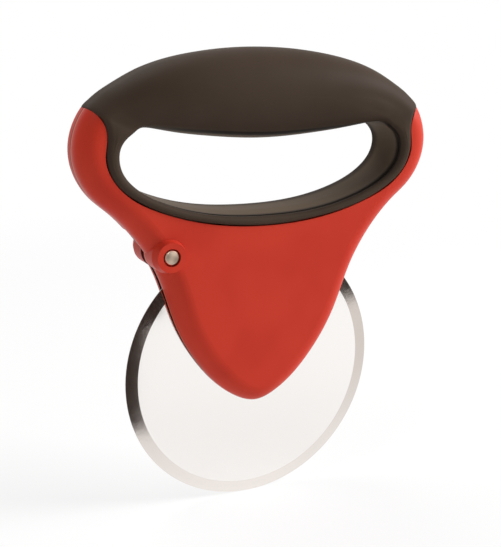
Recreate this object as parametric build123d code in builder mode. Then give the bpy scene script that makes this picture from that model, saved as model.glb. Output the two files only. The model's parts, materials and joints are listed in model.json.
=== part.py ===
from build123d import *
import os

# Pizza cutter wheel: a ring handle with a padded bar, and a wheel in a slot between a front lobe and a
# rear cover, which swings aside about a steel pin so that the wheel lifts off its axle for washing.
# X runs across the handle, the front faces -Y, and Z is up. The origin is where the wheel meets the board.

os.makedirs("parts", exist_ok=True)

# Wheel and its running parts
WHEEL_RADIUS = 50.8
WHEEL_THICKNESS = 1.0
BEVEL_WIDTH = 4.6
EDGE_THICKNESS = 0.2
HUB_NECK_RADIUS = 5.0
HUB_FLANGE_RADIUS = 8.0
HUB_FLANGE_THICKNESS = 1.6
HUB_RING_THICKNESS = 0.7
AXLE_RADIUS = 2.5
AXLE_NOSE_INSET = 0.2
AXLE_SEAT_DEPTH = 4.2
AXLE_BOSS_RADIUS = 6.0
NOSE_CHAMFER = 0.3

# Handle, from the wheel up
LOBE_DROP = 12.0
RING_GAP = 6.5
RING_BAND = 3.9
HOLE_HEIGHT = 25.6
BAR_HEIGHT = 32.8
BAR_HALF_DEPTH = 15.8
HANDLE_HALF_WIDTH = 69.6
FACE_DEPTH = 10.0
LOBE_FACE_DEPTH = 8.2
EDGE_ROUND = 7.6
RING_HALF_DEPTH = 10.1
BEAD_ROUND = 1.4

# Mouldings
SHELL_WALL = 3.0
RIB_THICKNESS = 1.6
CORE_HALF_DEPTH = 5.5
CORE_COVER = 1.6
TONGUE_HALF_DEPTH = 1.8
CATCH_WIDTH = 5.0
CATCH_THICKNESS = 2.0
CATCH_REACH = 3.4
CATCH_ROOT = 6.0

# Pivot of the swing cover
PIN_RADIUS = 2.0
PIN_HEAD_RADIUS = 2.6
PIN_HEAD_THICKNESS = 1.6
HEAD_RECESS_RADIUS = 3.2
HEAD_RECESS_DEPTH = 1.7
BOSS_RADIUS = 5.3
BOSS_FOOT_RADIUS = 6.3
BOSS_FOOT_DEPTH = 9.0
BOSS_DEPTH = 12.35
PIVOT_WASHER_RADIUS = 4.6
SPRING_WASHER_THICKNESS = 0.4
RETAINER_THICKNESS = 0.7
NOTCH_RADIUS = 12.5

# Screws that close the shells on the core
SCREW_RADIUS = 1.2
SCREW_HEAD_RADIUS = 2.1
SCREW_HEAD_THICKNESS = 1.4
SCREW_LENGTH = 11.0
SCREW_SEAT_DEPTH = 3.6

# Clearances
SLOT_CLEARANCE = 0.8
RUNNING_CLEARANCE = 0.05
PART_CLEARANCE = 0.1
SWING_CLEARANCE = 0.4
RIM_CLEARANCE = 1.2
CUT_OVERRUN = 2.0

OFFSET_POINTS = 36

# Heights above the axle
ring_base = WHEEL_RADIUS + RING_GAP
hole_base = ring_base + RING_BAND
bar_base = hole_base + HOLE_HEIGHT
handle_top = bar_base + BAR_HEIGHT
body_height = handle_top + LOBE_DROP
slot_half = WHEEL_THICKNESS / 2 + SLOT_CLEARANCE
split_height = WHEEL_RADIUS + RIM_CLEARANCE

# Right half of the outline, in shares of the half width and of the height above the lobe's tip
OUTLINE_SHARES = (
    (0.474, 0.973), (0.756, 0.918), (0.935, 0.843), (1.000, 0.731), (0.894, 0.609), (0.812, 0.572),
    (0.705, 0.514), (0.556, 0.386), (0.468, 0.257), (0.309, 0.114), (0.216, 0.060), (0.126, 0.024),
)
# Seam between the black ring and the red shells, in shares of the half width and of the height above it
SEAM_SHARES = (
    (0.316, 0.029), (0.596, 0.116), (0.783, 0.236), (0.871, 0.425), (0.862, 0.546), (0.894, 0.637),
    (0.977, 0.695),
)
# Finger hole's edge, in shares of the half width and of the hole's height
HOLE_SHARES = ((0.287, 0.055), (0.546, 0.238), (0.723, 0.512), (0.797, 0.898), (0.724, 1.234), (0.575, 1.418))
# Bar sections: place in shares of the half width, middle and height of the bar's height, and half depth
BAR_SHARES = (
    (0.000, 0.500, 1.000, 1.000), (0.270, 0.500, 0.933, 0.985), (0.500, 0.485, 0.774, 0.925),
    (0.690, 0.476, 0.512, 0.750), (0.800, 0.456, 0.260, 0.540),
)
CATCH_SHARE = 0.535
PIVOT_SHARE = (-0.546, 0.4635)
SCREW_SHARES = ((0.936, 0.722), (0.700, 0.580))

pivot_x = PIVOT_SHARE[0] * HANDLE_HALF_WIDTH
pivot_rise = PIVOT_SHARE[1] * body_height - LOBE_DROP
pivot_spot = (pivot_x, pivot_rise)
catch_x = CATCH_SHARE * HANDLE_HALF_WIDTH
screw_spots = [
    (side * x_share * HANDLE_HALF_WIDTH, z_share * body_height - LOBE_DROP)
    for x_share, z_share in SCREW_SHARES for side in (-1, 1)
]


def upright(depth):
    """Return the upright plane at this depth behind the wheel's plane, facing the front."""
    return Plane(origin=(0, depth, WHEEL_RADIUS), x_dir=(1, 0, 0), z_dir=(0, -1, 0))


def both_halves(shares, width, height, base):
    """Turn the right half's shares into the points of the left half and of the right half."""
    right = [(x * width, base + z * height) for x, z in shares]
    return [(-x, z) for x, z in reversed(right)], right


def beside(edge, amount, closed):
    """Return points that follow an edge, this far to the right of its heading."""
    last = OFFSET_POINTS if closed else OFFSET_POINTS - 1
    points = []
    for step in range(OFFSET_POINTS):
        spot, heading = edge.position_at(step / last), edge.tangent_at(step / last)
        points.append((spot.X + amount * heading.Y, spot.Y - amount * heading.X))
    return points


# Outline of the whole handle and lobe
left, right = both_halves(OUTLINE_SHARES, HANDLE_HALF_WIDTH, body_height, -LOBE_DROP)
with BuildSketch() as outline:
    with BuildLine():
        outline_edge = Spline((0, handle_top), *right, (0, -LOBE_DROP), *left, periodic=True)
    make_face()

# All that lies inside the seam, which runs on past the outline at both horn tips
left, right = both_halves(SEAM_SHARES, HANDLE_HALF_WIDTH, handle_top - ring_base, ring_base)
far_side, far_top = HANDLE_HALF_WIDTH + CUT_OVERRUN, handle_top + CUT_OVERRUN
with BuildSketch() as inside_seam:
    with BuildLine():
        Spline(*left, (0, ring_base), *right)
        Polyline(
            right[-1], (far_side, right[-1][1]), (far_side, far_top), (-far_side, far_top),
            (-far_side, left[0][1]), left[0],
        )
    make_face()

# Finger hole, which runs up inside the bar
left, right = both_halves(HOLE_SHARES, HANDLE_HALF_WIDTH, HOLE_HEIGHT, hole_base)
with BuildSketch() as finger_hole:
    with BuildLine():
        hole_edge = Spline(*left, (0, hole_base), *right)
        Line(right[-1], left[0])
    make_face()

# Outer form of one shell, front half: a face that falls back to the lobe's tip, with a rounded rim
crown_reach = ring_base + LOBE_DROP + CUT_OVERRUN
crown_middle = WHEEL_RADIUS + ring_base
with BuildPart() as shell_blank:
    with BuildSketch(upright(0)):
        add(outline.sketch)
    extrude(amount=FACE_DEPTH)
    with BuildSketch(Plane.YZ):
        with BuildLine():
            crown = ThreePointArc(
                (-LOBE_FACE_DEPTH, crown_middle - crown_reach), (-FACE_DEPTH, crown_middle),
                (-LOBE_FACE_DEPTH, crown_middle + crown_reach),
            )
            Polyline(
                crown @ 1, (-FACE_DEPTH - CUT_OVERRUN, crown_middle + crown_reach),
                (-FACE_DEPTH - CUT_OVERRUN, crown_middle - crown_reach), crown @ 0,
            )
        make_face()
    extrude(amount=far_side, both=True, mode=Mode.SUBTRACT)
    fillet(shell_blank.faces().sort_by(Axis.Y)[0].edges(), EDGE_ROUND)

# Inside of the shells, one wall in from the outline
with BuildSketch() as inside_wall:
    with BuildLine():
        Spline(*beside(outline_edge, SHELL_WALL, closed=True), periodic=True)
    make_face()

# Rib cross of the lobe and of the cover, kept inside their walls
with BuildSketch() as rib_cross:
    Rectangle(HANDLE_HALF_WIDTH, RIB_THICKNESS)
    Rectangle(RIB_THICKNESS, 2 * WHEEL_RADIUS)
    Circle(AXLE_BOSS_RADIUS)
    add(inside_wall.sketch, mode=Mode.INTERSECT)

boss_end = BOSS_DEPTH - HEAD_RECESS_DEPTH
hub_front = WHEEL_THICKNESS / 2 + HUB_FLANGE_THICKNESS
hub_rear = WHEEL_THICKNESS / 2 + HUB_RING_THICKNESS
floor_depth = LOBE_FACE_DEPTH - SHELL_WALL
screw_seat = FACE_DEPTH - SCREW_SEAT_DEPTH

# Front pivot boss, with the recess for the pin's head
with BuildPart() as pivot_boss:
    with BuildSketch(upright(-slot_half)):
        with Locations(pivot_spot):
            Circle(BOSS_FOOT_RADIUS)
    extrude(amount=BOSS_FOOT_DEPTH - slot_half)
    with BuildSketch(upright(-BOSS_FOOT_DEPTH)):
        with Locations(pivot_spot):
            Circle(BOSS_FOOT_RADIUS)
    with BuildSketch(upright(-BOSS_DEPTH)):
        with Locations(pivot_spot):
            Circle(BOSS_RADIUS)
    loft()

# All that is cut along the pivot pin, front half
with BuildPart() as pivot_bore:
    with BuildSketch(upright(0)):
        with Locations(pivot_spot):
            Circle(PIN_RADIUS + RUNNING_CLEARANCE)
    extrude(amount=BOSS_DEPTH)
    with BuildSketch(upright(-boss_end)):
        with Locations(pivot_spot):
            Circle(HEAD_RECESS_RADIUS)
    extrude(amount=HEAD_RECESS_DEPTH + CUT_OVERRUN)

# Room for the handle core's tongue, which the two shells close on
with BuildSketch() as tongue_outline:
    add(inside_wall.sketch)
    with Locations((0, split_height / 2 - LOBE_DROP)):
        Rectangle(2 * HANDLE_HALF_WIDTH, split_height + 2 * LOBE_DROP, mode=Mode.SUBTRACT)
    with Locations(pivot_spot):
        Circle(BOSS_FOOT_RADIUS + SWING_CLEARANCE + SHELL_WALL, mode=Mode.SUBTRACT)

with BuildPart() as front_shell:
    add(shell_blank.part)
    with BuildSketch(upright(0)):
        add(inside_seam.sketch)
    extrude(amount=FACE_DEPTH, mode=Mode.SUBTRACT)
    # The wheel's slot takes all of the lobe's back below the split
    with BuildSketch(upright(0)):
        with Locations((0, split_height / 2 - LOBE_DROP)):
            Rectangle(2 * far_side, split_height + 2 * LOBE_DROP)
        with Locations(pivot_spot):
            Circle(BOSS_FOOT_RADIUS + SWING_CLEARANCE)
    extrude(amount=slot_half, mode=Mode.SUBTRACT)
    # Hollow of the lobe, with a rib cross about the axle's boss
    with BuildSketch(upright(0)):
        add(inside_wall.sketch)
        with Locations((0, far_top)):
            Rectangle(2 * far_side, 2 * (far_top - split_height), mode=Mode.SUBTRACT)
        with Locations(pivot_spot):
            Circle(BOSS_FOOT_RADIUS + SHELL_WALL, mode=Mode.SUBTRACT)
    extrude(amount=floor_depth, mode=Mode.SUBTRACT)
    with BuildSketch(upright(-hub_front - PART_CLEARANCE)):
        add(rib_cross.sketch)
    extrude(amount=floor_depth - hub_front)
    with BuildSketch(upright(0)):
        Circle(AXLE_RADIUS)
    extrude(amount=hub_front + AXLE_SEAT_DEPTH, mode=Mode.SUBTRACT)
    add(pivot_boss.part)
    add(pivot_bore.part, mode=Mode.SUBTRACT)
    with BuildSketch(upright(0)):
        add(tongue_outline.sketch)
    extrude(amount=TONGUE_HALF_DEPTH, mode=Mode.SUBTRACT)
    with BuildSketch(upright(0)):
        with Locations(*screw_spots):
            Circle(SCREW_RADIUS)
    extrude(amount=SCREW_LENGTH - screw_seat, mode=Mode.SUBTRACT)
front_shell.part.label = "front_shell"
export_step(front_shell.part, "parts/front_shell.step")

rear_blank = mirror(shell_blank.part, about=Plane.XZ)

with BuildPart() as rear_shell:
    add(rear_blank)
    with BuildSketch(upright(0)):
        add(inside_seam.sketch)
        with Locations((0, split_height / 2 - LOBE_DROP)):
            Rectangle(2 * far_side, split_height + 2 * LOBE_DROP)
        # The cover's ear turns in a round notch, and its flank swings up into a wider one
        with Locations(pivot_spot):
            Circle(BOSS_FOOT_RADIUS + SWING_CLEARANCE)
        with Locations(pivot_spot):
            Rectangle(NOTCH_RADIUS, 2 * NOTCH_RADIUS, align=(Align.MAX, Align.CENTER))
    extrude(amount=-FACE_DEPTH, mode=Mode.SUBTRACT)
    with BuildSketch(upright(0)):
        add(tongue_outline.sketch)
    extrude(amount=-TONGUE_HALF_DEPTH, mode=Mode.SUBTRACT)
    with BuildSketch(upright(0)):
        with Locations(*screw_spots):
            Circle(SCREW_RADIUS + PART_CLEARANCE)
    extrude(amount=-FACE_DEPTH, mode=Mode.SUBTRACT)
    with BuildSketch(upright(screw_seat)):
        with Locations(*screw_spots):
            Circle(SCREW_HEAD_RADIUS + PART_CLEARANCE)
    extrude(amount=-SCREW_SEAT_DEPTH, mode=Mode.SUBTRACT)
    # Pocket for the cover's catch, open below
    with BuildSketch(upright(screw_seat - CATCH_THICKNESS - SWING_CLEARANCE)):
        with Locations((catch_x, split_height)):
            Rectangle(
                CATCH_WIDTH + 2 * SWING_CLEARANCE, CATCH_REACH, align=(Align.CENTER, Align.MIN)
            )
    extrude(amount=-CATCH_THICKNESS - 2 * SWING_CLEARANCE, mode=Mode.SUBTRACT)
rear_shell.part.label = "rear_shell"
export_step(rear_shell.part, "parts/rear_shell.step")

# Plan of the swing cover: what is cut from above it, and its hollow
with BuildSketch() as above_cover:
    with Locations((0, far_top)):
        Rectangle(2 * far_side, 2 * (far_top - split_height + SWING_CLEARANCE))
    with Locations(pivot_spot):
        Rectangle(2 * NOTCH_RADIUS, 2 * NOTCH_RADIUS, align=(Align.MAX, Align.MIN))
    with Locations(pivot_spot):
        Circle(BOSS_FOOT_RADIUS, mode=Mode.SUBTRACT)
with BuildSketch() as cover_hollow:
    add(inside_wall.sketch)
    with Locations(pivot_spot):
        Circle(BOSS_FOOT_RADIUS + SHELL_WALL, mode=Mode.SUBTRACT)

with BuildPart() as swing_cover:
    add(rear_blank)
    with BuildSketch(upright(0)):
        add(cover_hollow.sketch)
    extrude(amount=-floor_depth, mode=Mode.SUBTRACT)
    # Ribs and the pad that keeps the hub on its axle, which slide across the hub as the cover swings
    with BuildSketch(upright(slot_half)):
        add(rib_cross.sketch)
        Circle(HUB_FLANGE_RADIUS)
    extrude(amount=slot_half - floor_depth)
    with BuildSketch(upright(0)):
        add(above_cover.sketch)
    extrude(amount=-FACE_DEPTH, mode=Mode.SUBTRACT)
    with BuildSketch(upright(0)):
        Rectangle(2 * far_side, 2 * far_top)
    extrude(amount=-slot_half, mode=Mode.SUBTRACT)
    # Catch that slides up behind the rear shell as the cover closes
    with BuildSketch(upright(screw_seat - CATCH_THICKNESS)):
        with Locations((catch_x, split_height - SWING_CLEARANCE - CATCH_ROOT)):
            Rectangle(CATCH_WIDTH, CATCH_ROOT + CATCH_REACH, align=(Align.CENTER, Align.MIN))
    extrude(amount=-CATCH_THICKNESS)
    with BuildSketch(upright(screw_seat)):
        with Locations((catch_x, split_height - SWING_CLEARANCE - CATCH_ROOT)):
            Rectangle(CATCH_WIDTH, CATCH_ROOT, align=(Align.CENTER, Align.MIN))
    extrude(amount=screw_seat - floor_depth)
    add(mirror(pivot_boss.part, about=Plane.XZ))
    add(mirror(pivot_bore.part, about=Plane.XZ), mode=Mode.SUBTRACT)
swing_cover.part.label = "swing_cover"
export_step(swing_cover.part, "parts/swing_cover.step")

# Rigid core of the handle: a ring and bar inside the soft grip, with a tongue between the shells
with BuildPart() as handle_core:
    with BuildSketch(upright(CORE_HALF_DEPTH)):
        with BuildLine():
            Spline(*beside(outline_edge, CORE_COVER, closed=True), periodic=True)
        make_face()
        add(inside_seam.sketch, mode=Mode.INTERSECT)
    extrude(amount=2 * CORE_HALF_DEPTH)
    with BuildSketch(upright(TONGUE_HALF_DEPTH)):
        add(tongue_outline.sketch)
    extrude(amount=2 * TONGUE_HALF_DEPTH)
    with BuildSketch(upright(CORE_HALF_DEPTH)):
        with BuildLine():
            edge_line = Spline(*beside(hole_edge, CORE_COVER, closed=False))
            Line(edge_line @ 1, edge_line @ 0)
        make_face()
    extrude(amount=2 * CORE_HALF_DEPTH, mode=Mode.SUBTRACT)
    with BuildSketch(upright(TONGUE_HALF_DEPTH)):
        with Locations(*screw_spots):
            Circle(SCREW_RADIUS + PART_CLEARANCE)
    extrude(amount=2 * TONGUE_HALF_DEPTH, mode=Mode.SUBTRACT)
handle_core.part.label = "handle_core"
export_step(handle_core.part, "parts/handle_core.step")

bar_sections = [(-x_share, *sizes) for x_share, *sizes in reversed(BAR_SHARES[1:])] + list(BAR_SHARES)

# Fat bar of the grip, swelling to the front and rear from both ends to its middle
with BuildPart() as grip_bar:
    for x_share, middle_share, height_share, depth_share in bar_sections:
        middle = WHEEL_RADIUS + bar_base + middle_share * BAR_HEIGHT
        with BuildSketch(
            Plane(origin=(x_share * HANDLE_HALF_WIDTH, 0, middle), x_dir=(0, 1, 0), z_dir=(1, 0, 0))
        ):
            Ellipse(depth_share * BAR_HALF_DEPTH, height_share * BAR_HEIGHT / 2)
    loft()

# Soft grip moulded over the core: a beaded ring round the finger hole and the bar across its top
with BuildPart() as grip:
    with BuildSketch(upright(RING_HALF_DEPTH)):
        add(outline.sketch)
    extrude(amount=2 * RING_HALF_DEPTH)
    ring_faces = grip.faces().sort_by(Axis.Y)
    fillet(ring_faces[0].edges() + ring_faces[-1].edges(), EDGE_ROUND)
    with BuildSketch(upright(RING_HALF_DEPTH)):
        add(inside_seam.sketch)
        add(finger_hole.sketch, mode=Mode.SUBTRACT)
    extrude(amount=2 * RING_HALF_DEPTH, mode=Mode.INTERSECT)
    ring_faces = grip.faces().sort_by(Axis.Y)
    fillet([edge for face in (ring_faces[0], ring_faces[-1]) for wire in face.inner_wires()
            for edge in wire.edges()], BEAD_ROUND)
    add(grip_bar.part)
    add(handle_core.part, mode=Mode.SUBTRACT)
grip.part.label = "grip"
export_step(grip.part, "parts/grip.step")

# Steel wheel, ground to an edge from both sides
with BuildPart() as cutting_wheel:
    with BuildSketch(Plane.YZ) as wheel_section:
        with BuildLine():
            Polyline(
                (-WHEEL_THICKNESS / 2, WHEEL_RADIUS + HUB_NECK_RADIUS),
                (-WHEEL_THICKNESS / 2, 2 * WHEEL_RADIUS - BEVEL_WIDTH),
                (-EDGE_THICKNESS / 2, 2 * WHEEL_RADIUS), (EDGE_THICKNESS / 2, 2 * WHEEL_RADIUS),
                (WHEEL_THICKNESS / 2, 2 * WHEEL_RADIUS - BEVEL_WIDTH),
                (WHEEL_THICKNESS / 2, WHEEL_RADIUS + HUB_NECK_RADIUS), close=True,
            )
        make_face()
    revolve(axis=Axis((0, 0, WHEEL_RADIUS), (0, 1, 0)))
cutting_wheel.part.label = "cutting_wheel"
export_step(cutting_wheel.part, "parts/cutting_wheel.step")

# Hub in two pieces that close on the wheel: the front one has the neck, the rear one is a thin ring
with BuildPart() as wheel_hub:
    with BuildSketch(upright(-WHEEL_THICKNESS / 2)):
        Circle(HUB_FLANGE_RADIUS)
    extrude(amount=HUB_FLANGE_THICKNESS)
    chamfer(wheel_hub.faces().sort_by(Axis.Y)[0].edges(), NOSE_CHAMFER)
    with BuildSketch(upright(-WHEEL_THICKNESS / 2)):
        Circle(HUB_NECK_RADIUS)
    extrude(amount=-WHEEL_THICKNESS - HUB_RING_THICKNESS)
    with BuildSketch(upright(hub_rear)):
        Circle(AXLE_RADIUS + RUNNING_CLEARANCE)
    extrude(amount=hub_front + hub_rear, mode=Mode.SUBTRACT)
wheel_hub.part.label = "wheel_hub"
export_step(wheel_hub.part, "parts/wheel_hub.step")

with BuildPart() as hub_ring:
    with BuildSketch(upright(WHEEL_THICKNESS / 2)):
        Circle(HUB_FLANGE_RADIUS)
    extrude(amount=-HUB_RING_THICKNESS)
    chamfer(hub_ring.faces().sort_by(Axis.Y)[-1].edges(), NOSE_CHAMFER)
    with BuildSketch(upright(0)):
        Circle(HUB_NECK_RADIUS)
    extrude(amount=-hub_rear, mode=Mode.SUBTRACT)
hub_ring.part.label = "hub_ring"
export_step(hub_ring.part, "parts/hub_ring.step")

# Steel axle pressed into the front lobe's boss, with its nose just inside the hub's rear face
with BuildPart() as axle:
    with BuildSketch(upright(-hub_front - AXLE_SEAT_DEPTH)):
        Circle(AXLE_RADIUS)
    extrude(amount=AXLE_NOSE_INSET - AXLE_SEAT_DEPTH - hub_front - hub_rear)
    chamfer(axle.faces().sort_by(Axis.Y)[-1].edges(), NOSE_CHAMFER)
axle.part.label = "axle"
export_step(axle.part, "parts/axle.step")

# Pivot pin, headed at the front, with a spring washer and a push-on retainer behind the cover's boss
with BuildPart() as pivot_pin:
    with BuildSketch(upright(-boss_end)):
        with Locations(pivot_spot):
            Circle(PIN_HEAD_RADIUS)
    extrude(amount=PIN_HEAD_THICKNESS)
    chamfer(pivot_pin.faces().sort_by(Axis.Y)[0].edges(), NOSE_CHAMFER)
    with BuildSketch(upright(-boss_end)):
        with Locations(pivot_spot):
            Circle(PIN_RADIUS)
    extrude(amount=-boss_end - BOSS_DEPTH + NOSE_CHAMFER)
    chamfer(pivot_pin.faces().sort_by(Axis.Y)[-1].edges(), NOSE_CHAMFER)
pivot_pin.part.label = "pivot_pin"
export_step(pivot_pin.part, "parts/pivot_pin.step")

with BuildPart() as pivot_washer:
    with BuildSketch(upright(-slot_half)):
        with Locations(pivot_spot):
            Circle(PIVOT_WASHER_RADIUS)
            Circle(PIN_RADIUS + RUNNING_CLEARANCE, mode=Mode.SUBTRACT)
    extrude(amount=-2 * slot_half + RUNNING_CLEARANCE)
pivot_washer.part.label = "pivot_washer"
export_step(pivot_washer.part, "parts/pivot_washer.step")

with BuildPart() as spring_washer:
    with BuildSketch(upright(boss_end + RUNNING_CLEARANCE)):
        with Locations(pivot_spot):
            Circle(HEAD_RECESS_RADIUS - PART_CLEARANCE)
            Circle(PIN_RADIUS + RUNNING_CLEARANCE, mode=Mode.SUBTRACT)
    extrude(amount=-SPRING_WASHER_THICKNESS)
spring_washer.part.label = "spring_washer"
export_step(spring_washer.part, "parts/spring_washer.step")

with BuildPart() as pin_retainer:
    with BuildSketch(upright(boss_end + RUNNING_CLEARANCE + SPRING_WASHER_THICKNESS)):
        with Locations(pivot_spot):
            Circle(HEAD_RECESS_RADIUS - PART_CLEARANCE)
            Circle(PIN_RADIUS, mode=Mode.SUBTRACT)
    extrude(amount=-RETAINER_THICKNESS)
pin_retainer.part.label = "pin_retainer"
export_step(pin_retainer.part, "parts/pin_retainer.step")

# Four screws from the rear, through the core's tongue into the front shell
with BuildPart() as shell_screws:
    with BuildSketch(upright(screw_seat)):
        with Locations(*screw_spots):
            Circle(SCREW_HEAD_RADIUS)
    extrude(amount=-SCREW_HEAD_THICKNESS)
    with BuildSketch(upright(screw_seat)):
        with Locations(*screw_spots):
            Circle(SCREW_RADIUS)
    extrude(amount=SCREW_LENGTH)
shell_screws.part.label = "shell_screws"
export_step(shell_screws.part, "parts/shell_screws.step")
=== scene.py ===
import bmesh
import bpy
import json
import math
import numpy as np
from mathutils import Matrix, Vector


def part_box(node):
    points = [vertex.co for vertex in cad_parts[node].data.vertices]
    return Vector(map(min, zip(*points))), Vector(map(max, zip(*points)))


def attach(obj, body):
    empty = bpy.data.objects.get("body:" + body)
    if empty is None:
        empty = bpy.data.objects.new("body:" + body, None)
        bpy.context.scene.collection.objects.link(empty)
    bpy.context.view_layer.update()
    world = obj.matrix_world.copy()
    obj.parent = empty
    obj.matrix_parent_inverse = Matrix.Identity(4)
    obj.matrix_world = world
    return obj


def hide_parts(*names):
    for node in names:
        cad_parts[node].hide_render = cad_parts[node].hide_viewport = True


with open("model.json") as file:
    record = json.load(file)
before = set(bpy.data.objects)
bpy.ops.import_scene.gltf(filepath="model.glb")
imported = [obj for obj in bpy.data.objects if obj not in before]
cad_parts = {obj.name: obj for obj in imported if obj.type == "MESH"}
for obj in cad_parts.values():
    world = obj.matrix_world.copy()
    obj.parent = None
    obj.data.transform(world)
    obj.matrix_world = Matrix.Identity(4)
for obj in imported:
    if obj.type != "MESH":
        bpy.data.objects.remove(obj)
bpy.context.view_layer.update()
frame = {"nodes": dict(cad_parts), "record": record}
print("frame loaded with", len(frame["nodes"]), "nodes")

# Shader maths: a small wrapper round a socket, and one method that makes any other node


class Tree:
    def __init__(self, name):
        self.material = bpy.data.materials.new(name)
        self.material.use_nodes = True
        self.nodes = self.material.node_tree.nodes
        self.links = self.material.node_tree.links
        self.surface = self.nodes["Principled BSDF"]

    def node(self, kind, settings=None, **inputs):
        made = self.nodes.new(kind)
        for key, value in (settings or {}).items():
            setattr(made, key, value)
        for key, value in inputs.items():
            numbered = key[0] == "i" and key[1:].isdigit()
            self.feed(made.inputs[int(key[1:]) if numbered else key.replace("_", " ")], value)
        return made

    def feed(self, socket, value):
        if isinstance(value, Wire):
            self.links.new(value.socket, socket)
        elif isinstance(value, bpy.types.NodeSocket):
            self.links.new(value, socket)
        else:
            socket.default_value = value

    def shade(self, **inputs):
        for key, value in inputs.items():
            self.feed(self.surface.inputs[key.replace("_", " ")], value)

    def objectSpace(self):
        return self.node("ShaderNodeTexCoord").outputs["Object"]

    def split(self, vector):
        parts = self.node("ShaderNodeSeparateXYZ", i0=vector).outputs
        return [Wire(self, part) for part in parts]

    def noise(self, scale, detail=2.0, roughness=0.5, vector=None):
        made = self.node("ShaderNodeTexNoise", Scale=scale, Detail=detail, Roughness=roughness,
                         Vector=vector or self.objectSpace())
        return Wire(self, made.outputs["Fac"])

    def mix(self, factor, first, second):
        made = self.node("ShaderNodeMix", {"data_type": "RGBA"}, i0=factor, i6=first, i7=second)
        return made.outputs[2]

    def bump(self, height, strength, distance):
        made = self.node("ShaderNodeBump", Height=height, Strength=strength, Distance=distance)
        return made.outputs["Normal"]


class Wire:
    def __init__(self, tree, socket):
        self.tree, self.socket = tree, socket

    def maths(self, operation, *others):
        made = self.tree.node("ShaderNodeMath", {"operation": operation})
        for slot, value in enumerate((self,) + others):
            self.tree.feed(made.inputs[slot], value)
        return Wire(self.tree, made.outputs[0])

    def __add__(self, other):
        return self.maths("ADD", other)

    def __sub__(self, other):
        return self.maths("SUBTRACT", other)

    def __rsub__(self, other):
        return (self * -1.0) + other

    def __mul__(self, other):
        return self.maths("MULTIPLY", other)

    def __truediv__(self, other):
        return self.maths("DIVIDE", other)

    def between(self, low, high):
        smooth = {"interpolation_type": "SMOOTHSTEP"}
        ramp = self.tree.node("ShaderNodeMapRange", smooth, i0=self, i1=low, i2=high)
        return Wire(self.tree, ramp.outputs[0])


def srgb(red, green, blue):
    # colour as seen on a screen, 0 to 255, turned into the linear values that shaders use
    values = [c / 255 for c in (red, green, blue)]
    return tuple(c / 12.92 if c <= 0.04045 else ((c + 0.055) / 1.055) ** 2.4 for c in values) + (1.0,)


# Red moulded shells
redShell = dict(
    # the edge colour is a painted highlight along the front moulding's rim, and the seam colour is painted
    # shade in the joint
    colour=srgb(197, 57, 39), darker=srgb(190, 52, 36), edge=srgb(222, 112, 84), seam=srgb(96, 26, 20),
    roughness=0.38, roughnessSwing=0.06, specular=0.1, mottleScale=45.0, mottleBand=(0.35, 0.65),
    grainScale=2600.0, grainDepth=0.00002, grainStrength=0.08,
    edgeWidth=0.0014, edgeShare=0.75, seamWidth=0.00045, solidShare=0.6, step=0.0001,
)

# The shells meet above the cover, and leave the wheel's slot below it
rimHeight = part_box("swing_cover")[1].z
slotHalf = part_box("swing_cover")[0].y


def makeRedShell():
    tree = Tree("red shell plastic")
    mottle = tree.noise(redShell["mottleScale"], detail=1.0)
    grain = tree.noise(redShell["grainScale"], detail=1.0)
    y, z = tree.split(tree.objectSpace())[1:]
    step, solid, swing = redShell["step"], redShell["solidShare"], redShell["roughnessSwing"]
    # the mouldings' rims: painted shade in the joint, and a painted highlight along the front moulding's
    # edge beside it
    rim = y.maths("ABSOLUTE") - (1.0 - z.between(rimHeight - step, rimHeight + step)) * slotHalf
    front = 1.0 - y.between(-step, step)
    onEdgeHighlight = (1.0 - rim.between(redShell["edgeWidth"] * solid, redShell["edgeWidth"])) * front
    inSeamShade = 1.0 - rim.between(redShell["seamWidth"] * solid, redShell["seamWidth"])
    body = tree.mix(mottle.between(*redShell["mottleBand"]), redShell["darker"], redShell["colour"])
    edged = tree.mix(onEdgeHighlight * redShell["edgeShare"], body, redShell["edge"])
    tree.shade(
        Base_Color=tree.mix(inSeamShade, edged, redShell["seam"]),
        Roughness=grain * swing + (redShell["roughness"] - swing / 2),
        Normal=tree.bump(grain, redShell["grainStrength"], redShell["grainDepth"]),
        Specular_IOR_Level=redShell["specular"],
    )
    return tree.material


# Soft grip
softGrip = dict(
    colour=srgb(60, 49, 40), paler=srgb(67, 55, 46), roughness=0.55, specular=0.05,
    # the paler wall colour is painted light on the finger hole's wall, and the crease colour is painted
    # shade behind the bead
    paintedLitWall=srgb(98, 83, 68), litWallHalf=(0.0055, 0.0085), paintedZoneTop=(0.1415, 0.1455),
    crease=srgb(20, 16, 13), creaseShadeFront=(-0.0098, -0.009), creaseShadeBack=(-0.008, -0.0058),
    creaseShadeShare=0.85, cloudScale=30.0, cloudBand=(0.3, 0.7), roughnessSwing=0.08,
    grainScale=3200.0, grainDepth=0.00003, grainStrength=0.15,
)


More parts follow.
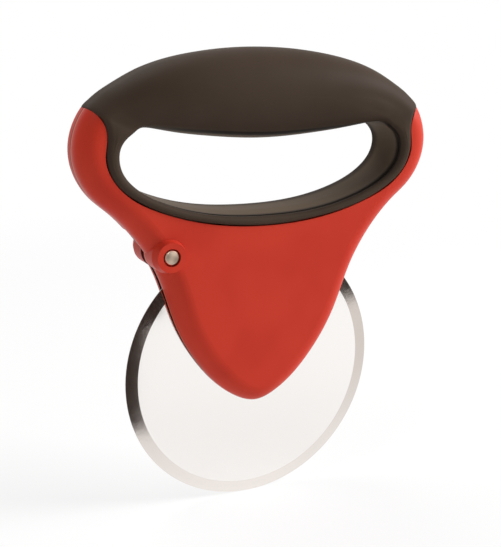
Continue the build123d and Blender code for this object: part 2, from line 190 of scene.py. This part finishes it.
def makeSoftGrip():
    tree = Tree("soft grip elastomer")
    cloud = tree.noise(softGrip["cloudScale"])
    grain = tree.noise(softGrip["grainScale"])
    y, z = tree.split(tree.objectSpace())[1:]
    # below the bar, the hole's wall is painted paler as painted light falling on it, and the crease behind
    # the bead is painted dark as painted shade
    below = 1.0 - z.between(*softGrip["paintedZoneTop"])
    paintedLitWall = (1.0 - y.maths("ABSOLUTE").between(*softGrip["litWallHalf"])) * below
    inCreaseShade = y.between(*softGrip["creaseShadeFront"]) * (1.0 - y.between(*softGrip["creaseShadeBack"])) * below
    body = tree.mix(cloud.between(*softGrip["cloudBand"]), softGrip["colour"], softGrip["paler"])
    withPaintedLitWall = tree.mix(paintedLitWall, body, softGrip["paintedLitWall"])
    swing = softGrip["roughnessSwing"]
    tree.shade(
        Base_Color=tree.mix(inCreaseShade * softGrip["creaseShadeShare"], withPaintedLitWall, softGrip["crease"]),
        Roughness=grain * swing + (softGrip["roughness"] - swing / 2),
        Normal=tree.bump(grain, softGrip["grainStrength"], softGrip["grainDepth"]),
        Specular_IOR_Level=softGrip["specular"],
    )
    return tree.material


# Steel wheel: a polished face and a ground bevel with fine radial lines
wheelSteel = dict(
    # the bevel's colour above is painted darker, as painted reflection shade towards the top
    face=srgb(246, 243, 240), bevel=srgb(238, 232, 227), bevelShadedAbove=srgb(208, 199, 192),
    shadeBand=(-1.0, 0.15), faceRoughness=0.14, bevelRoughness=0.09, bevelWidth=0.0046, step=0.0001,
    lineCount=420.0, lineReach=40.0, lineDetail=3.0, lineRoughness=0.7, lineSwing=0.08,
    lineStrength=0.25, lineDepth=0.00005,
)


def makeWheelSteel():
    low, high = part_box("cutting_wheel")
    radius = (high.x - low.x) / 2
    middle = (high.z + low.z) / 2
    tree = Tree("wheel steel")
    x, z = tree.split(tree.objectSpace())[::2]
    up = z - middle
    reach = (x * x + up * up).maths("SQRT")
    bevelStart, step = radius - wheelSteel["bevelWidth"], wheelSteel["step"]
    onBevel = reach.between(bevelStart - step, bevelStart + step)
    angle = up.maths("ARCTAN2", x)
    turned, outwards = angle * wheelSteel["lineCount"], reach * wheelSteel["lineReach"]
    around = tree.node("ShaderNodeCombineXYZ", i0=turned, i1=outwards, i2=0.0).outputs[0]
    lines = tree.noise(1.0, wheelSteel["lineDetail"], wheelSteel["lineRoughness"], around)
    # painted reflection shade: the bevel's colour turns darker towards the top
    height = (up / radius).between(*wheelSteel["shadeBand"])
    shadedBevel = tree.mix(height, wheelSteel["bevel"], wheelSteel["bevelShadedAbove"])
    faceRoughness, bevelRoughness = wheelSteel["faceRoughness"], wheelSteel["bevelRoughness"]
    polish = onBevel * (bevelRoughness - faceRoughness) + faceRoughness
    tree.shade(
        Base_Color=tree.mix(onBevel, wheelSteel["face"], shadedBevel),
        Metallic=1.0,
        Roughness=polish + lines * onBevel * wheelSteel["lineSwing"],
        Normal=tree.bump(lines * onBevel, wheelSteel["lineStrength"], wheelSteel["lineDepth"]),
    )
    return tree.material


# Turned steel of the pins
pinSteel = dict(
    # colour and darker are the lit and shaded tones of the pin's painted glint, mixed by angle round its
    # head
    colour=srgb(236, 212, 190), darker=srgb(170, 150, 132), roughness=0.3,
    ringCount=9000.0, ringStrength=0.2, ringDepth=0.00002, glintTurn=2.4, glintReach=(0.0002, 0.0016),
)


def makePinSteel():
    tree = Tree("turned pin steel")
    low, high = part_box("pivot_pin")
    x, z = tree.split(tree.objectSpace())[::2]
    across = x - (low.x + high.x) / 2
    up = z - (low.z + high.z) / 2
    reach = (across * across + up * up).maths("SQRT")
    rings = (reach * pinSteel["ringCount"]).maths("SINE")
    # painted highlight: the turning marks are painted lighter in two opposite sectors as a painted glint,
    # and painted darker between them as painted shade
    glintWave = (up.maths("ARCTAN2", across) * 2.0 - pinSteel["glintTurn"]).maths("COSINE")
    paintedGlint = glintWave * reach.between(*pinSteel["glintReach"])
    tree.shade(
        Base_Color=tree.mix(paintedGlint * 0.5 + 0.5, pinSteel["darker"], pinSteel["colour"]),
        Metallic=1.0,
        Roughness=pinSteel["roughness"],
        Normal=tree.bump(rings, pinSteel["ringStrength"], pinSteel["ringDepth"]),
    )
    return tree.material


# Small parts: a plain colour with a fine grain
plainGrain = dict(scale=1800.0, strength=0.1, depth=0.00002, roughnessSwing=0.1)


def makePlain(name, colour, roughness, metallic=0.0):
    tree = Tree(name)
    grain = tree.noise(plainGrain["scale"])
    tree.shade(
        Base_Color=colour,
        Metallic=metallic,
        Roughness=grain * plainGrain["roughnessSwing"] + (roughness - plainGrain["roughnessSwing"] / 2),
        Normal=tree.bump(grain, plainGrain["strength"], plainGrain["depth"]),
    )
    return tree.material


finishes = dict(
    red_shell=makeRedShell(), soft_grip=makeSoftGrip(), wheel_steel=makeWheelSteel(),
    pin_steel=makePinSteel(),
    core_plastic=makePlain("core plastic", srgb(50, 48, 46), 0.5),
    spring_steel=makePlain("spring steel", srgb(150, 147, 142), 0.35, 1.0),
    screw_steel=makePlain("screw steel", srgb(175, 175, 175), 0.35, 1.0),
    hub_acetal=makePlain("hub acetal", srgb(232, 230, 222), 0.42),
    washer_acetal=makePlain("washer acetal", srgb(232, 230, 222), 0.42),
)
for entry in frame["record"]["subparts"]:
    piece = frame["nodes"][entry["node"]]
    piece.data.materials.clear()
    piece.data.materials.append(finishes[entry["material_slot"]])
print("finishes made:", len(finishes))


# Soft grip: one closed surface carried round the finger hole
# Each row: hole edge x, z and outer edge x, z (mm across and above the axle), half depth, then the inner
# corner's radii across and in depth, the outer corner's, the crown of the face, the crease behind the bead
# and how far the hole widens from its middle to the bead
gripForm = dict(
    rows=np.array([
        (0.0, 61.7, 0.0, 57.3, 11.0, 1.7, 1.7, 1.9, 3.6, 0.0, 2.0, 0.8),
        (20.0, 62.9, 21.0, 59.1, 11.0, 1.5, 1.7, 1.7, 3.6, 0.0, 2.0, 0.7),
        (38.0, 67.3, 40.0, 63.9, 10.9, 1.6, 1.7, 1.7, 3.6, 0.0, 2.0, 0.5),
        (48.2, 72.4, 51.0, 69.4, 10.8, 1.8, 1.7, 1.8, 3.5, 0.0, 2.0, 0.4),
        (53.9, 78.1, 57.9, 75.6, 10.7, 2.1, 1.8, 2.3, 3.5, 0.0, 2.0, 0.3),
        (55.6, 84.1, 60.6, 84.0, 10.7, 2.3, 2.0, 2.6, 3.4, 0.0, 1.8, 0.0),
        (54.4, 88.0, 60.3, 90.0, 10.7, 2.3, 2.3, 3.0, 3.2, 0.1, 1.2, 0.0),
        (52.4, 90.2, 60.7, 94.0, 10.7, 2.2, 2.5, 3.4, 3.2, 0.1, 0.4, 0.0),
        (50.6, 91.4, 62.2, 97.2, 10.4, 2.1, 2.8, 4.8, 3.8, 0.1, 0.1, 0.0),
        (49.3, 92.3, 64.4, 99.3, 10.2, 2.1, 3.2, 7.4, 8.0, 0.1, 0.0, 0.0),
        (48.1, 92.9, 62.4, 101.6, 10.3, 2.3, 4.0, 7.9, 8.4, 0.2, 0.0, 0.0),
        (46.6, 93.1, 59.6, 103.9, 10.6, 2.8, 5.2, 8.4, 8.8, 0.2, 0.0, 0.0),
        (43.0, 92.6, 54.5, 107.0, 11.5, 5.0, 8.0, 8.8, 9.2, 0.3, 0.0, 0.0),
        (35.0, 91.0, 44.7, 112.2, 13.2, 8.6, 12.0, 10.4, 11.6, 0.2, 0.0, 0.0),
        (20.0, 89.0, 24.0, 117.8, 15.2, 13.4, 14.8, 13.8, 14.8, 0.0, 0.0, 0.0),
        (0.0, 87.8, 0.0, 119.66, 15.78, 15.8, 15.6, 15.8, 15.6, 0.0, 0.0, 0.0),
    ]),
    steps=400, arcSteps=18, flatSteps=8, wallSteps=44, creaseNear=0.5, creaseFar=1.1, creasePower=1.3,
    fullness=0.9, leastRound=0.2, roomShare=0.49, rearRound=8.0, rearLeast=0.45, axleHeight=50.8,
)


def closedCurve(points, steps):
    # periodic cubic through the rows: the slopes come from one linear system, so each joint is smooth
    count = len(points)
    gaps = np.linalg.norm(np.roll(points, -1, 0)[:, :4] - points[:, :4], axis=1)
    before = np.roll(gaps, 1)
    rise = (np.roll(points, -1, 0) - points) / gaps[:, None]
    system = np.zeros((count, count))
    index = np.arange(count)
    system[index, (index - 1) % count] = gaps
    system[index, index] = 2 * (gaps + before)
    system[index, (index + 1) % count] = before
    slopes = np.linalg.solve(system, 3 * (gaps[:, None] * np.roll(rise, 1, 0) + before[:, None] * rise))
    reach = np.concatenate([[0], np.cumsum(gaps)])
    place = np.linspace(0, reach[-1], steps, endpoint=False)
    part = np.clip(np.searchsorted(reach, place, side="right") - 1, 0, count - 1)
    span = gaps[part][:, None]
    share = (place - reach[part])[:, None] / span
    after = (part + 1) % count
    return (
        (2 * share ** 3 - 3 * share ** 2 + 1) * points[part]
        + (3 * share ** 2 - 2 * share ** 3) * points[after]
        + (share ** 3 - 2 * share ** 2 + share) * span * slopes[part]
        + (share ** 3 - share ** 2) * span * slopes[after]
    )


def gridMesh(name, spots):
    # a grid of points, closed both ways round, made into quads
    rows, columns = spots.shape[:2]
    across, along = np.meshgrid(np.arange(columns), np.arange(rows))
    following, beside = (along + 1) % rows, (across + 1) % columns
    faces = np.stack([along * columns + across, along * columns + beside,
                      following * columns + beside, following * columns + across], -1).reshape(-1, 4)
    mesh = bpy.data.meshes.new(name)
    mesh.from_pydata(spots.reshape(-1, 3).tolist(), [], faces.tolist())
    mesh.polygons.foreach_set("use_smooth", np.ones(len(mesh.polygons), dtype=bool))
    mesh.update()
    piece = bpy.data.objects.new(name, mesh)
    bpy.context.scene.collection.objects.link(piece)
    return piece


def halfSection(width, depth, inner, innerDeep, outer, outerDeep, crown, crease, widening):
    # from the mid-plane at the hole's side over the face to the outer side: a wall that widens towards the
    # bead and dips in a sharp crease behind it, a quarter ellipse, the crowned face, a slightly fuller
    # quarter ellipse and a straight wall
    turn = np.linspace(0, np.pi / 2, gripForm["arcSteps"])[None, :]
    flat = np.linspace(0, 1, gripForm["flatSteps"])[None, :]
    rise = np.linspace(0, 1, gripForm["wallSteps"])[None, :-1]
    wall = rise * (depth - innerDeep)
    behind = depth - innerDeep - wall - gripForm["creaseNear"]
    away = np.maximum(behind / gripForm["creaseFar"], -behind / gripForm["creaseNear"])
    dip = np.clip(1 - away, 0, 1) ** gripForm["creasePower"]
    inset = np.concatenate([
        widening * rise ** 2 * (3 - 2 * rise) + crease * dip,
        widening + inner * (1 - np.cos(turn)),
        widening + inner + (width - widening - inner - outer) * flat[:, 1:-1],
        width - outer * (1 - np.sin(turn) ** gripForm["fullness"]),
        width + 0 * flat[:, 1:],
    ], 1)
    out = np.concatenate([
        wall,
        depth - innerDeep * (1 - np.sin(turn)),
        depth + crown * 4 * flat[:, 1:-1] * (1 - flat[:, 1:-1]),
        depth - outerDeep * (1 - np.cos(turn) ** gripForm["fullness"]),
        (depth - outerDeep) * flat[:, -2::-1],
    ], 1)
    return inset, out


def makeGrip():
    right = gripForm["rows"]
    left = right[-2:0:-1].copy()
    left[:, (0, 2)] *= -1
    rows = closedCurve(np.concatenate([right, left]), gripForm["steps"])
    hole, outerEdge, sizes = rows[:, 0:2], rows[:, 2:4], rows[:, 4:].T[:, :, None]
    depth, inner, innerDeep, outer, outerDeep, crown, crease, widening = sizes
    width = np.linalg.norm(outerEdge - hole, axis=1)[:, None]
    heading = (outerEdge - hole) / width
    room = (width - widening) * gripForm["roomShare"]
    inner, outer = (np.clip(corner, gripForm["leastRound"], room) for corner in (inner, outer))
    front = halfSection(width, depth, inner, innerDeep, outer, outerDeep, crown, crease, widening)
    # the rear has no crease and doesn't widen, and its edge is crisper where the ring is thin
    crisp = np.clip(innerDeep / gripForm["rearRound"], gripForm["rearLeast"], 1)
    rear = halfSection(
        width, depth, inner * crisp, innerDeep * crisp, outer, outerDeep, crown, 0 * crease, 0 * widening
    )
    inset = np.concatenate([front[0], rear[0][:, -2:0:-1]], 1)
    out = np.concatenate([front[1], -rear[1][:, -2:0:-1]], 1)
    spots = np.stack([
        hole[:, :1] + heading[:, :1] * inset, -out,
        hole[:, 1:] + heading[:, 1:] * inset + gripForm["axleHeight"],
    ], -1) / 1000
    piece = gridMesh("soft_grip_surface", spots)
    piece.data.materials.append(finishes["soft_grip"])
    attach(piece, "handle")
    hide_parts("grip")


makeGrip()
print("grip made")

# Rear shell: the node's mesh, with the recess over the fourth screw's head opened
rearRecess = dict(
    across=0.04872, headRadius=0.0021, headThickness=0.0014, gap=0.0001, reach=0.006, sides=64,
    sharpAngle=30.0, weld=1e-6,
)


def weldedCopy(source, name):
    # the node's mesh without the doubled points along its sharp edges
    shell = bmesh.new()
    shell.from_mesh(source)
    bmesh.ops.remove_doubles(shell, verts=shell.verts, dist=rearRecess["weld"])
    shell.verts.index_update()
    spots = [spot.co[:] for spot in shell.verts]
    faces = [[spot.index for spot in face.verts] for face in shell.faces]
    shell.free()
    mesh = bpy.data.meshes.new(name)
    mesh.from_pydata(spots, [], faces)
    return mesh


def makeDrill():
    low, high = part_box("shell_screws")
    seat = high.y - rearRecess["headThickness"]
    radius = rearRecess["headRadius"] + rearRecess["gap"]
    place = (rearRecess["across"], seat + rearRecess["reach"] / 2, low.z + rearRecess["headRadius"])
    drill = bmesh.new()
    bmesh.ops.create_cone(
        drill, cap_ends=True, segments=rearRecess["sides"], radius1=radius, radius2=radius,
        depth=rearRecess["reach"], matrix=Matrix.Translation(place) @ Matrix.Rotation(math.pi / 2, 4, "X"),
    )
    mesh = bpy.data.meshes.new("drill")
    drill.to_mesh(mesh)
    drill.free()
    cutter = bpy.data.objects.new("drill", mesh)
    bpy.context.scene.collection.objects.link(cutter)
    return cutter


def makeRearShell():
    mesh = weldedCopy(frame["nodes"]["rear_shell"].data, "rear_shell_surface")
    piece = bpy.data.objects.new("rear_shell_surface", mesh)
    bpy.context.scene.collection.objects.link(piece)
    cutter = makeDrill()
    cut = piece.modifiers.new("recess", "BOOLEAN")
    cut.operation, cut.solver, cut.object = "DIFFERENCE", "EXACT", cutter
    cut.use_self = True
    done = bpy.data.meshes.new_from_object(piece.evaluated_get(bpy.context.evaluated_depsgraph_get()))
    piece.modifiers.clear()
    piece.data = done
    bpy.data.objects.remove(cutter)
    done.polygons.foreach_set("use_smooth", np.ones(len(done.polygons), dtype=bool))
    done.set_sharp_from_angle(angle=math.radians(rearRecess["sharpAngle"]))
    done.materials.clear()
    done.materials.append(finishes["red_shell"])
    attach(piece, "handle")
    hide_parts("rear_shell")


makeRearShell()
print("rear shell made")

# Studio: a white floor that keeps the shadow, a white surround, soft lamps and three dark cards
# The cards stand before the wheel and are seen only in reflections: they darken the bevel at its left,
# upper left and upper right
studio = dict(
    floorSize=4.0, floorColour=srgb(246, 246, 246), shadowShare=0.24, fadeStart=0.25, fadeEnd=0.6,
    worldStrength=0.22, cardColour=srgb(78, 71, 67),
    cards=[
        ((-0.0485, -0.06, 0.052), (0.039, 0.1)),
        ((-0.0225, -0.06, 0.072), (0.017, 0.03)),
        ((0.102, -0.06, 0.086), (0.052, 0.056)),
    ],
)
lamps = dict(
    key=dict(place=(1.05, -0.42, 0.68), target=(0, 0, 0.09), size=(0.6, 0.6), power=18.5),
    side=dict(place=(-0.55, -0.25, 0.9), target=(0, 0, 0.1), size=(0.4, 0.4), power=1.7),
    top=dict(place=(-0.2, 0.4, 1.0), target=(0, 0, 0.1), size=(0.7, 0.4), power=3.6),
)


def whiteToTheEye(tree, share):
    # what the camera and the metal see is mixed with plain white, and a share of the lit surface stays
    path = tree.node("ShaderNodeLightPath").outputs
    seen = Wire(tree, path["Is Camera Ray"]).maths("MAXIMUM", path["Is Glossy Ray"])
    seen = seen.maths("MAXIMUM", path["Is Transmission Ray"])
    white = tree.node("ShaderNodeEmission", Color=(1, 1, 1, 1), Strength=1.0).outputs[0]
    mixed = tree.node("ShaderNodeMixShader", i0=seen * (1.0 - share), i1=tree.surface.outputs[0], i2=white)
    output = next(node for node in tree.nodes if node.type == "OUTPUT_MATERIAL")
    tree.links.new(mixed.outputs[0], output.inputs["Surface"])


def makeStudio():
    bpy.ops.mesh.primitive_plane_add(size=studio["floorSize"])
    floor = bpy.context.object
    floor.name = "floor"
    tree = Tree("studio floor")
    tree.shade(Base_Color=studio["floorColour"], Roughness=1.0, Specular_IOR_Level=0.0)
    x, y = tree.split(tree.objectSpace())[:2]
    far = (x * x + y * y).maths("SQRT").between(studio["fadeStart"], studio["fadeEnd"])
    whiteToTheEye(tree, (1.0 - far) * studio["shadowShare"])
    floor.data.materials.append(tree.material)
    dark = Tree("dark card")
    dark.shade(Base_Color=studio["cardColour"], Roughness=1.0, Specular_IOR_Level=0.0)
    for place, size in studio["cards"]:
        bpy.ops.mesh.primitive_plane_add(size=1)
        card = bpy.context.object
        card.name = "dark card"
        card.scale = (size[0], size[1], 1)
        card.rotation_euler = (math.pi / 2, 0, 0)
        card.location = place
        card.visible_camera = card.visible_diffuse = card.visible_shadow = card.visible_transmission = False
        card.data.materials.append(dark.material)


def makeWorld():
    world = bpy.data.worlds.new("studio")
    bpy.context.scene.world = world
    world.use_nodes = True
    nodes, links = world.node_tree.nodes, world.node_tree.links
    path = nodes.new("ShaderNodeLightPath")
    seen = nodes.new("ShaderNodeMath")
    seen.operation = "MAXIMUM"
    links.new(path.outputs["Is Camera Ray"], seen.inputs[0])
    links.new(path.outputs["Is Glossy Ray"], seen.inputs[1])
    strength = nodes.new("ShaderNodeMapRange")
    links.new(seen.outputs[0], strength.inputs["Value"])
    strength.inputs["To Min"].default_value = studio["worldStrength"]
    strength.inputs["To Max"].default_value = 1.0
    background = nodes["Background"]
    background.inputs["Color"].default_value = (1, 1, 1, 1)
    links.new(strength.outputs["Result"], background.inputs["Strength"])


def addLamp(name, form):
    data = bpy.data.lights.new(name, "AREA")
    data.shape, data.energy = "RECTANGLE", form["power"]
    data.size, data.size_y = form["size"]
    lamp = bpy.data.objects.new(name, data)
    bpy.context.scene.collection.objects.link(lamp)
    away = np.array(form["place"]) - np.array(form["target"])
    lamp.location = form["place"]
    lamp.rotation_euler = (
        math.acos(away[2] / np.linalg.norm(away)), 0, math.atan2(away[1], away[0]) + math.pi / 2
    )


makeStudio()
makeWorld()
for name, form in lamps.items():
    addLamp(name, form)

# Camera at the photograph's place: the eye and the view's turn, tilt and roll come from the wheel's rim
view = dict(
    eye=(-0.16662, -0.32413, 0.1821), turn=26.99, tilt=14.50, roll=1.56, focal=1010.5, longSide=547.0,
    sensor=36.0, clipStart=0.01,
)


def makeCamera():
    turn, tilt, roll = (math.radians(view[key]) for key in ("turn", "tilt", "roll"))
    ahead = np.array([math.sin(turn) * math.cos(tilt), math.cos(turn) * math.cos(tilt), -math.sin(tilt)])
    level = np.array([math.cos(turn), -math.sin(turn), 0.0])
    upright = np.cross(level, ahead)
    right = math.cos(roll) * level + math.sin(roll) * upright
    up = math.cos(roll) * upright - math.sin(roll) * level
    data = bpy.data.cameras.new("photo camera")
    data.sensor_fit, data.sensor_width = "AUTO", view["sensor"]
    data.lens = data.sensor_width * view["focal"] / view["longSide"]
    data.clip_start = view["clipStart"]
    camera = bpy.data.objects.new("photo camera", data)
    bpy.context.scene.collection.objects.link(camera)
    camera.matrix_world = Matrix([
        (right[0], up[0], -ahead[0], view["eye"][0]), (right[1], up[1], -ahead[1], view["eye"][1]),
        (right[2], up[2], -ahead[2], view["eye"][2]), (0, 0, 0, 1),
    ])
    bpy.context.scene.camera = camera


makeCamera()
bpy.context.scene.view_settings.view_transform = "Standard"
print("camera and studio set")
